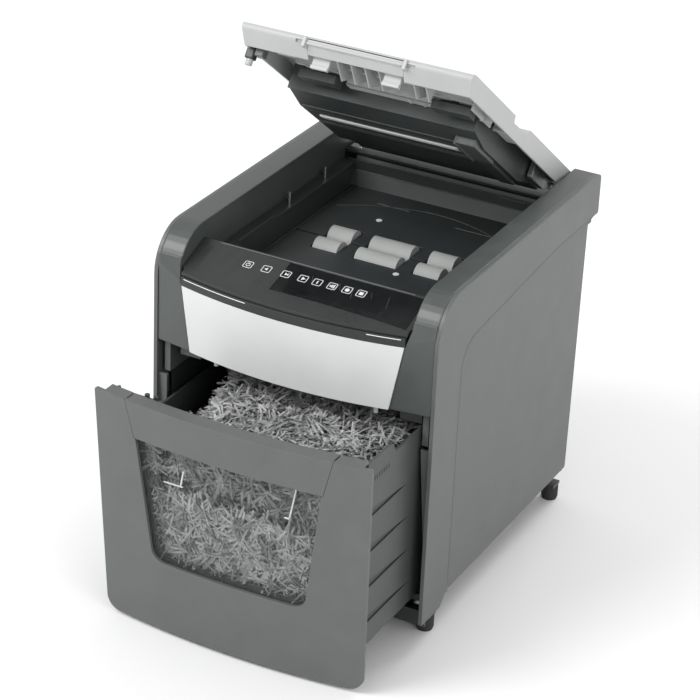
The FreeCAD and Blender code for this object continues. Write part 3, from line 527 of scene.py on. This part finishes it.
hingeAt = Vector(next(j["pos_m"] for j in frame["record"]["behaviour"]["joints"] if j["name"] == "lid_hinge"))
lidShape = {
    "open": 37,              # degrees
    "length": 305,           # hinge to front edge, in millimetres
    "rise": 14.5,            # hinge to top
}
# every row is a span across, a span back from the lid's front edge and a span down from its top
underside = {
    "ledges": (((-98, 100), (56, 58), (3, 11)), ((-34, 58), (80, 91.5), (17, 19)),
               ((-34, 58), (80, 82), (3, 19))),
    "ribs": (-78, -30, -14, 2, 18, 50, 100),
    "ribHalf": 0.7,
    "gussets": (-24, -10, 4, 18, 52, 64),
    "gusset": ((26, 3), (26, 12), (50, 24), (58, 3)),
    "rearGusset": ((60, 3), (63, 20), (86, 10), (86, 3)),
    "guards": (-56, 80),
    "guardHalf": 22,
    "clips": (((29, 31), (84, 91), (3, 20)), ((43, 45), (84, 91), (3, 20)), ((29, 45), (86, 88), (15, 18))),
    "corner": (((100.4, 102.4), (60, 112), (3, 20)),),
    "side": (((98, 110), (92, 94), (3, 20)), ((98, 110), (128, 130), (3, 18)),
             ((98, 110), (170, 172), (3, 16)), ((97.5, 110), (128, 172), (14, 16)),
             ((-110, -98), (120, 122), (3, 16))),
    "linerLines": (((-93, 90), (126, 127.6), (35.7, 37.1)), ((-93, 90), (172, 173.6), (36.5, 37.9)),
                   ((-93, 90), (178, 179.6), (36.5, 37.9))),
    "frontLip": (((-96, 96), (92, 94), (29, 31.5)),),
}


def openLid(piece):  # from round the hinge, lying shut, to where the open lid stands
    piece.rotation_euler = (-math.radians(lidShape["open"]), 0, 0)
    piece.location = hingeAt
    settle(piece)
    return piece


def lidPlace(back, down):  # in millimetres, to depth and height from the hinge
    return (back - lidShape["length"]) * mm, (lidShape["rise"] - down) * mm


def lidBlock(name, x, back, down, bevel=0.0):
    lowY, highZ = lidPlace(back[0], down[0])
    highY, lowZ = lidPlace(back[1], down[1])
    return block(name, (x[0] * mm, lowY, lowZ), (x[1] * mm, highY, highZ), bevel * mm)


def lidBlocks(name, rows, bevel):
    return [lidBlock(name, *row, bevel) for row in rows]


def lidPlate(name, x, thick, corners):
    return plateAt(name, x * mm, thick * mm, [lidPlace(*corner) for corner in corners])


def onLid(name, pieces, slotName):
    return finishPiece(openLid(joined(name, pieces)), "lid", slotName)


def makeLidFittings():
    half = underside["ribHalf"]
    pale = lidBlocks("ledge", underside["ledges"], 0.4)
    pale += lidBlocks("rib", [((x - half, x + half), (26, 90), (2.8, 8)) for x in underside["ribs"]], 0.2)
    for x in underside["gussets"]:
        pale.append(lidPlate("gusset", x, 1.4, underside["gusset"]))
        pale.append(lidPlate("rearGusset", x - 5, 1.2, underside["rearGusset"]))
    for x in underside["guards"]:
        span = (x - underside["guardHalf"], x + underside["guardHalf"])
        pale += lidBlocks("guard", ((span, (54, 56), (4, 15)), (span, (54, 60.6), (13, 15))), 0.4)
    pale += lidBlocks("clip", underside["clips"], 0.3)
    pale += lidBlocks("corner", underside["corner"], 0.4)
    pale += lidBlocks("side", underside["side"], 0.3)
    onLid("lidRibs", pale, "pale_lid")
    dark = lidBlocks("line", underside["linerLines"], 0.2) + lidBlocks("lip", underside["frontLip"], 0.5)
    onLid("linerLines", dark, "dark_inner")
    onLid("slotGuide", [lidBlock("slotFront", (-83.5, 61.5), (149.2, 154.5), (3, 38.2), 0.5),
                        lidBlock("slotBack", (-83.5, 61.5), (160.2, 160.8), (3, 37.2), 0.1)], "white_part")
    bar = [lidBlock("barFlat", (74, 93), (112, 168), (33.5, 40.5), 0.6),
           lidBlock("barEdge", (72, 74), (112, 168), (33, 42), 0.4)]
    tail = [lidBlock("armTail", (76, 91), (169, 240), (36.6, 40.2), 0.6)]
    onLid("angledBar", bar, "rim_grey")
    onLid("barTail", tail, "dark_inner")
    # the sleeve ends short of the peg, clear of the switch button below it
    onLid("pegSleeve", [lidBlock("sleeve", (-115.5, -106.5), (28.2, 37.4), (14, 27.5), 1.4)], "dark_inner")
    onLid("pegBoss", [lidBlock("boss", (-105.8, -97), (27, 37), (3, 24), 1.0)], "grey_case")
    print("lid fittings made")


makeLidFittings()


icons = {
    "places": (-61, -42, -22, -4.6, 10, 25, 40, 54),
    "depth": (25.0, 25.2, 25.6, 25.8, 26, 26.2, 26.6, 27),
    "side": 9.0 * mm,
    "line": 0.75 * mm,
    "stand": 0.12 * mm,
    "corner": 1.6 * mm,
    "lift": 0.15 * mm,
    "panelDepth": 44,        # depth of the panel's back edge, measured like the depths above
}
panelLow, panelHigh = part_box("control_panel")


def ringPiece(name, side, line, corner, stand):
    selectNone()
    bpy.ops.mesh.primitive_plane_add(size=side)
    piece = bpy.context.object
    piece.name = name
    only(piece)
    bpy.ops.object.mode_set(mode="EDIT")
    bpy.ops.mesh.select_all(action="SELECT")
    bpy.ops.mesh.bevel(offset=corner, segments=4, affect="VERTICES")
    bpy.ops.mesh.select_all(action="SELECT")
    bpy.ops.mesh.inset(thickness=line, depth=0)
    bpy.ops.mesh.delete(type="FACE")
    bpy.ops.object.mode_set(mode="OBJECT")
    solid = piece.modifiers.new("stand", "SOLIDIFY")
    solid.thickness = stand
    solid.offset = 1
    applyAll(piece)
    return piece


def spotPiece(name, sides, radius, stand, turn=0.0):
    selectNone()
    bpy.ops.mesh.primitive_circle_add(vertices=sides, radius=radius, fill_type="NGON", rotation=(0, 0, turn))
    piece = bpy.context.object
    piece.name = name
    settle(piece)
    solid = piece.modifiers.new("stand", "SOLIDIFY")
    solid.thickness = stand
    solid.offset = 1
    applyAll(piece)
    return piece


def barPiece(name, long, wide, stand, turn, shift=(0, 0)):
    piece = block(name, (-long / 2, -wide / 2, 0), (long / 2, wide / 2, stand))
    piece.rotation_euler = (0, 0, turn)
    piece.location = (shift[0], shift[1], 0)
    settle(piece)
    return piece


def makeSymbol(k):
    s, t = icons["side"], icons["stand"]
    if k == 0:
        return [ringPiece("ring", s * 0.5, icons["line"], s * 0.2, t),
                barPiece("tick", s * 0.3, icons["line"], t, math.pi / 2, (0, s * 0.2))]
    if k == 1:
        return [spotPiece("left", 3, s * 0.24, t, math.pi / 2)]
    if k == 2:
        return [spotPiece("right", 3, s * 0.24, t, -math.pi / 2),
                barPiece("stop", s * 0.4, icons["line"], t, math.pi / 2, (s * 0.24, 0))]
    if k == 3:
        return [spotPiece("play", 3, s * 0.30, t, -math.pi / 2)]
    if k == 4:
        return [barPiece("one", s * 0.45, icons["line"] * 1.6, t, math.pi / 2),
                spotPiece("dot", 8, s * 0.09, t)]
    if k == 5:
        return [barPiece("step", s * 0.16, s * w, t, 0, (s * (0.2 * n - 0.2), 0))
                for n, w in enumerate((0.28, 0.42, 0.56))]
    if k == 6:
        return [spotPiece("full", 6, s * 0.27, t)]
    return [spotPiece("box", 4, s * 0.32, t, math.pi / 4)]


def makeIcons():
    finished = []
    for k, (xMm, depthMm) in enumerate(zip(icons["places"], icons["depth"])):
        x = xMm * mm
        y = panelHigh.y - (icons["panelDepth"] - depthMm) * mm
        under = surfaceUnder(x, y, ("control_panel", "status_window"))
        ring = ringPiece("frame", icons["side"], icons["line"], icons["corner"], icons["stand"])
        icon = joined("icon%d" % k, [ring] + makeSymbol(k))
        slope = math.atan2(-under[1].y, under[1].z)
        icon.rotation_euler = (slope, 0, 0)
        icon.location = under[0] + under[1] * icons["lift"]
        settle(icon)
        finished.append(icon)
    return finishPiece(joined("panelIcons", finished), "housing", "white_part", made["white_part"])


makeIcons()
print("panel marks made")


tray = {
    "radius": 0.7 * mm,      # of the raised lines
    "lift": 0.2 * mm,
    "rearGap": 12 * mm,      # from the tray's rear end to where the lines are measured from
    "arcLeft": -92 * mm,
    "arcWide": 190 * mm,
    "arcBack": 22 * mm,
    "arcDeep": 34 * mm,
    "arcSteps": 24,
    "edges": ((-60, -24, 30), (30, 74, 40)),
    "marks": ((-28, -8, 311, 317), (56, 84, 309, 317)),
    "sides": (-100, 98),
    "sideStops": (6, 60, 130, 180),
    "liner": (296, 319),     # foot and top of the dark sheet on the rear wall, painted shade of the recess at the rear
    "linerHalf": 112,
    "step": 308,             # height of the step in it
}
trayLow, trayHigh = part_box("paper_tray")


def onFloor(x, y):
    hit = surfaceUnder(x, y, ("paper_tray",))
    return (x, y, (hit[0].z if hit else trayLow.z) + tray["lift"])


def rearWall(x, z):  # depth of the nearest wall that closes the tray at its rear
    start = Vector((x, trayLow.y + 120 * mm, z))
    hits = [nodes[name].ray_cast(start, (0, 1, 0)) for name in ("paper_tray", "rear_panel")]
    return min(place.y for hit, place, normal, _ in hits if hit)


def makeTrayDetails():
    rear = trayHigh.y - tray["rearGap"]
    radius = tray["radius"]
    arc = []
    for k in range(tray["arcSteps"] + 1):
        t = k / tray["arcSteps"]
        back = tray["arcBack"] + tray["arcDeep"] * (2 * t - 1) ** 2
        arc.append(onFloor(tray["arcLeft"] + tray["arcWide"] * t, rear - back))
    lines = [lineAlong("arc", arc, radius)]
    for x0, x1, back in tray["edges"]:
        lines.append(lineAlong("edge", [onFloor(x * mm, rear - back * mm) for x in (x0, x1)], radius))
    for x0, x1, z0, z1 in tray["marks"]:
        y = rearWall(x0 * mm, z0 * mm)
        lines.append(block("mark", (x0 * mm, y - 0.8 * mm, z0 * mm),
                           (x1 * mm, y + 1 * mm, z1 * mm), 0.3 * mm))
    wallY = rearWall(0, 310 * mm)
    low, high = (z * mm for z in tray["liner"])
    halfWide = tray["linerHalf"] * mm
    # a dark sheet over the rear wall: painted shade of the recess, with a step line across it
    lines.append(block("rearWallShade", (-halfWide, wallY - 0.7 * mm, low),
                       (halfWide, wallY + 0.3 * mm, high), 0.2 * mm))
    step = [(x, wallY - 0.7 * mm, tray["step"] * mm) for x in (-halfWide + 1 * mm, halfWide - 1 * mm)]
    lines.append(lineAlong("rearStep", step, 0.6 * mm))
    for x in tray["sides"]:
        lines.append(lineAlong("side", [onFloor(x * mm, rear - d * mm) for d in tray["sideStops"]], radius))
    finishPiece(joined("trayLines", lines), "housing", "dark_inner")
    print("tray details made")


makeTrayDetails()


# a fine dark line on each side panel: painted shade along the crease round the recessed field
crease = {
    "corner": (52, 292),     # behind the cabinet's front edge, above the floor, in millimetres
    "turn": 30,
    "low": 42,
    "rear": (250, 309),
    "end": 338,
    "ahead": 0.9,            # the line runs this far in front of the edge of the recessed field
    "radius": 0.42 * mm,
    "sunk": 0.25 * mm,
    "steps": 8,
}
sideLow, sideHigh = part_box("side_panel_right")


def creasePath():
    cornerU, cornerZ = crease["corner"]
    turn = crease["turn"]
    rise = math.atan2(crease["rear"][1] - cornerZ, crease["rear"][0] - cornerU)
    sweep = math.pi / 2 - rise
    centreU, centreZ = cornerU + turn, cornerZ - turn * math.tan(sweep / 2)
    path = [(cornerU, crease["low"])]
    for k in range(crease["steps"] + 1):
        angle = math.pi - sweep * k / crease["steps"]
        path.append((centreU + turn * math.cos(angle), centreZ + turn * math.sin(angle)))
    return path + [crease["rear"], (crease["end"], crease["rear"][1])]


def makeCreases():
    lines = []
    for side in (-1, 1):
        x = side * (sideHigh.x - crease["sunk"])
        places = [(x, sideLow.y + (u - crease["ahead"]) * mm, z * mm) for u, z in creasePath()]
        lines.append(lineAlong("crease", places, crease["radius"]))
    # the dark lines are painted shade at the edge of the recessed field
    finishPiece(joined("sideCreaseShades", lines), "housing", "rim_grey")
    print("side creases made")


makeCreases()


grooves = {"heights": (179, 142, 105, 68), "long": 80, "longer": 6, "start": 2.3, "floorIn": 1.55 * mm}
teeth = {"count": 7, "first": 13, "pitch": 4.4, "wide": 0.9, "low": 214, "high": 219}
# painted highlights: thin white lines that stand for glints on the clear parts' edges, each from (across, up)
# to (across, up) in millimetres
glintLines = {
    "pane": (((-92, 201), (-78, 200)), ((78, 200.5), (93, 201))),
    "paneIn": 3.2 * mm,
    "paneRadius": 0.7 * mm,
    "pocket": (((-76, 156), (-56, 156)), ((-55.5, 173), (-58.5, 156)), ((61, 196), (54, 158)),
               ((54, 158), (49, 158))),
    "pocketRadius": 0.8 * mm,
}


# a thin dark plate on the floor of each wedge-shaped groove: painted shade in the groove
def grooveShadePlate(side, k, height):
    run = (grooves["long"] + grooves["longer"] * k) * mm * 0.9
    y, z = tubLow.y + grooves["start"] * mm, height * mm
    corners = [(y, z + 0.3 * mm), (y, z + 9.4 * mm), (y + run, z + 0.4 * mm)]
    return plateAt("shade", side * (tubHigh.x - grooves["floorIn"]), 0.3 * mm, corners)


def rimTooth(k):
    y = tubLow.y + (teeth["first"] + teeth["pitch"] * k) * mm
    return block("tooth", (tubHigh.x - 0.4 * mm, y, teeth["low"] * mm),
                 (tubHigh.x + 0.35 * mm, y + teeth["wide"] * mm, teeth["high"] * mm))


def makeBinDetails():
    # the dark groove plates are painted shade
    shadePlates = [grooveShadePlate(side, k, height) for side in (-1, 1)
              for k, height in enumerate(grooves["heights"])]
    finishPiece(joined("grooveShadePlates", shadePlates), "bin", "dark_inner")
    finishPiece(joined("rimTeeth", [rimTooth(k) for k in range(teeth["count"])]), "bin", "dark_inner")
    # white raised lines that stand for glints: painted highlights on the clear pane and in the finger pocket
    edges = []
    for places in glintLines["pane"]:
        line = [(x * mm, frontFace(x * mm, z * mm) - glintLines["paneIn"], z * mm) for x, z in places]
        edges.append(lineAlong("edge", line, glintLines["paneRadius"]))
    finishPiece(joined("paneGlints", edges), "bin", "white_part")
    corners = []
    for places in glintLines["pocket"]:
        line = [(x * mm, tubLow.y - 0.2 * mm, z * mm) for x, z in places]
        corners.append(lineAlong("corner", line, glintLines["pocketRadius"]))
    finishPiece(joined("pocketGlints", corners), "bin", "white_part")
    print("bin details made")


makeBinDetails()


panel = {
    "ribs": ((2, 20), (30, 20), (44, 26), (62, 20), (80, 26)),   # across, and where the rib ends
    "ribStart": 12,
    "ribLean": 1.2,
    "ribRadius": 0.35 * mm,
    "backHalf": 100,
    "backIn": 1.6 * mm,
    "backRadius": 0.5 * mm,
    # trim rows are white lines on the trim strip, painted highlights standing for its gloss
    "trim": ((-111, -90, 316.6), (-111, -40, 313.4), (80, 111, 313.4)),
    "trimSteps": 8,
    "trimRadius": 0.45 * mm,
}


def onPanel(x, y, lift):
    hit = surfaceUnder(x, y, ("control_panel", "status_window", "trim_strip"))
    return hit[0] + hit[1] * lift


def trimPlaces(x0, x1, z):
    places = []
    for k in range(panel["trimSteps"] + 1):
        x = (x0 + (x1 - x0) * k / panel["trimSteps"]) * mm
        hit, place, normal, _ = nodes["trim_strip"].ray_cast((x, -1, z * mm), (0, 1, 0))
        if hit:
            places.append((place.x, place.y - 0.05 * mm, place.z))
    return places


def makePanelDetails():
    ribs = []
    for x, end in panel["ribs"]:
        rear, front = panelHigh.y - panel["ribStart"] * mm, panelHigh.y - end * mm
        line = [onPanel((x + k * panel["ribLean"]) * mm, rear + (front - rear) * k / 3, 0.05 * mm)
                for k in range(4)]
        ribs.append(lineAlong("rib", line, panel["ribRadius"]))
    finishPiece(joined("windowRibs", ribs), "housing", "black_gloss")
    half = panel["backHalf"]
    backLine = [onPanel(x * mm, panelHigh.y - panel["backIn"], 0.1 * mm)
                for x in range(-half, half + 1, 20)]
    back = lineAlong("backLine", backLine, panel["backRadius"])
    finishPiece(joined("panelBackLine", [back]), "housing", "grey_case")
    # white lines along the trim strip: painted highlights
    runs = [trimPlaces(*row) for row in panel["trim"]]
    trim = [lineAlong("trim", places, panel["trimRadius"]) for places in runs if len(places) > 2]
    finishPiece(joined("trimGlintLines", trim), "housing", "white_part")
    print("panel details made")


makePanelDetails()


studio = {
    "floorColour": (0.90, 0.90, 0.90),
    "worldStrength": 0.72,
    "lamps": (("key", (-1.3, -1.6, 2.2), 48, 1.6), ("fill", (2.2, -1.2, 1.3), 18, 2.0),
              ("back", (0.4, 2.0, 2.2), 26, 1.5)),      # name, place, watts and width
}


def makeStage():
    selectNone()
    bpy.ops.mesh.primitive_plane_add(size=12, location=(0, 0, 0))
    floor = bpy.context.object
    floor.name = "floor"
    finish, tree, shader = newFinish("paleFloor")
    coords = tree.nodes.new("ShaderNodeTexCoord").outputs["Object"]
    fine = noiseAt(tree, coords, 3, 4)
    base = studio["floorColour"]
    tree.links.new(mixColours(tree, fine, tinted(base, 0.99), base), shader.inputs["Base Color"])
    shader.inputs["Roughness"].default_value = 0.9
    floor.data.materials.append(finish)


def softLight(name, place, power, size, target=(0, 0, 0.25)):
    data = bpy.data.lights.new(name, "AREA")
    data.energy = power
    data.shape = "DISK"
    data.size = size
    light = bpy.data.objects.new(name, data)
    light.location = place
    light.rotation_euler = (Vector(target) - Vector(place)).to_track_quat("-Z", "Y").to_euler()
    bpy.context.scene.collection.objects.link(light)


def makeLight():
    world = bpy.data.worlds.new("studio")
    world.use_nodes = True
    background = world.node_tree.nodes["Background"]
    background.inputs["Color"].default_value = (1, 1, 1, 1)
    background.inputs["Strength"].default_value = studio["worldStrength"]
    bpy.context.scene.world = world
    for lamp in studio["lamps"]:
        softLight(*lamp)


view = {
    "place": (1.01066, -1.980811, 1.37499),
    "forward": (-0.40315, 0.79057, -0.46095),
    "roll": 2.57,
    "lens": 136.76,
}


def makeCamera():
    data = bpy.data.cameras.new("camera")
    data.lens = view["lens"]
    data.sensor_width = 36
    data.clip_start = 0.05
    data.dof.use_dof = False
    camera = bpy.data.objects.new("camera", data)
    forward = Vector(view["forward"]).normalized()
    right = forward.cross(Vector((0, 0, 1))).normalized()
    up = right.cross(forward)
    roll = math.radians(view["roll"])
    sideways = math.cos(roll) * right + math.sin(roll) * up
    upright = -math.sin(roll) * right + math.cos(roll) * up
    turn = Matrix((sideways, upright, -forward)).transposed().to_4x4()
    camera.matrix_world = Matrix.Translation(view["place"]) @ turn
    bpy.context.scene.collection.objects.link(camera)
    bpy.context.scene.camera = camera


makeStage()
makeLight()
makeCamera()
bpy.context.scene.view_settings.view_transform = "Standard"
print("stage, light and camera set")
